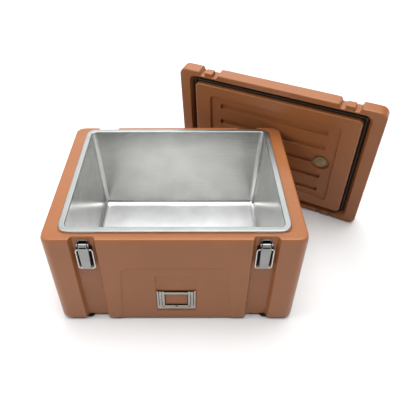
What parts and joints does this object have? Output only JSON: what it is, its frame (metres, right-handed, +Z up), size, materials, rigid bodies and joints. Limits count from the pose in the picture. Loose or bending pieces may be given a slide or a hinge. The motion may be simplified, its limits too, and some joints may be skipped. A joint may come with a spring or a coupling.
{
  "type": "insulated food carrier",
  "caption": "Top-loading insulated box for hot food: foam-filled plastic shell, steel tub, wire bail latches, end hand grips, rubber feet, and a loose sealed lid leaning on its corner.",
  "frame": {"origin": "middle of the flat underside of the box, 8 mm above the floor that the feet stand on", "axes": "+X right along the length, +Y from the labelled front to the back, +Z up"},
  "size_m": [0.9483, 0.697, 0.4815],
  "materials": {
    "plastic": "satin rotationally moulded brown polyethylene",
    "foam": "rigid insulating foam",
    "steel": "brushed stainless steel",
    "bright_wire": "polished steel",
    "rubber": "soft black rubber",
    "plug": "satin olive plastic"
  },
  "bodies": {
    "carrier_box": {"body_shell": "plastic", "body_foam": "foam", "body_fill_plug": "plug", "steel_liner": "steel", "label_frame": "steel", "label_rivet_left": "steel", "label_rivet_right": "steel", "foot_front_left": "rubber", "foot_front_left_screw": "steel", "latch_front_left_base": "steel", "latch_front_left_pin": "bright_wire", "latch_front_left_rivet_1": "steel", "latch_front_left_rivet_2": "steel", "foot_front_right": "rubber", "foot_front_right_screw": "steel", "latch_front_right_base": "steel", "latch_front_right_pin": "bright_wire", "latch_front_right_rivet_1": "steel", "latch_front_right_rivet_2": "steel", "foot_back_left": "rubber", "foot_back_left_screw": "steel", "latch_back_left_base": "steel", "latch_back_left_pin": "bright_wire", "latch_back_left_rivet_1": "steel", "latch_back_left_rivet_2": "steel", "foot_back_right": "rubber", "foot_back_right_screw": "steel", "latch_back_right_base": "steel", "latch_back_right_pin": "bright_wire", "latch_back_right_rivet_1": "steel", "latch_back_right_rivet_2": "steel"},
    "lever_front_left": {"latch_front_left_lever": "steel"},
    "bail_front_left": {"latch_front_left_bail": "bright_wire"},
    "lever_front_right": {"latch_front_right_lever": "steel"},
    "bail_front_right": {"latch_front_right_bail": "bright_wire"},
    "lever_back_left": {"latch_back_left_lever": "steel"},
    "bail_back_left": {"latch_back_left_bail": "bright_wire"},
    "lever_back_right": {"latch_back_right_lever": "steel"},
    "bail_back_right": {"latch_back_right_bail": "bright_wire"},
    "lid": {"lid_shell": "plastic", "lid_foam": "foam", "lid_gasket": "rubber", "lid_fill_plug": "plug"}
  },
  "joints": [
    {"name": "lever_front_left_swing", "type": "hinge", "parent": "carrier_box", "child": "lever_front_left", "pos_m": [-0.222, -0.2349, 0.303], "axis": [-1, 0, 0], "range_deg": [0, 140]},
    {"name": "bail_front_left_swing", "type": "hinge", "parent": "lever_front_left", "child": "bail_front_left", "pos_m": [-0.222, -0.2342, 0.285], "axis": [1, 0, 0], "range_deg": [-180, 0]},
    {"name": "lever_front_right_swing", "type": "hinge", "parent": "carrier_box", "child": "lever_front_right", "pos_m": [0.222, -0.2349, 0.303], "axis": [-1, 0, 0], "range_deg": [0, 140]},
    {"name": "bail_front_right_swing", "type": "hinge", "parent": "lever_front_right", "child": "bail_front_right", "pos_m": [0.222, -0.2342, 0.285], "axis": [1, 0, 0], "range_deg": [-180, 0]},
    {"name": "lever_back_left_swing", "type": "hinge", "parent": "carrier_box", "child": "lever_back_left", "pos_m": [-0.222, 0.2349, 0.303], "axis": [1, 0, 0], "range_deg": [0, 140]},
    {"name": "bail_back_left_swing", "type": "hinge", "parent": "lever_back_left", "child": "bail_back_left", "pos_m": [-0.222, 0.2342, 0.285], "axis": [-1, 0, 0], "range_deg": [-180, 0]},
    {"name": "lever_back_right_swing", "type": "hinge", "parent": "carrier_box", "child": "lever_back_right", "pos_m": [0.222, 0.2349, 0.303], "axis": [1, 0, 0], "range_deg": [0, 25]},
    {"name": "bail_back_right_swing", "type": "hinge", "parent": "lever_back_right", "child": "bail_back_right", "pos_m": [0.222, 0.2342, 0.285], "axis": [-1, 0, 0], "range_deg": [-25, 0]},
    {"name": "lid_lift", "type": "slide", "parent": "carrier_box", "child": "lid", "axis": [0, 0, 1], "range_m": [0, 0.45]}
  ]
}
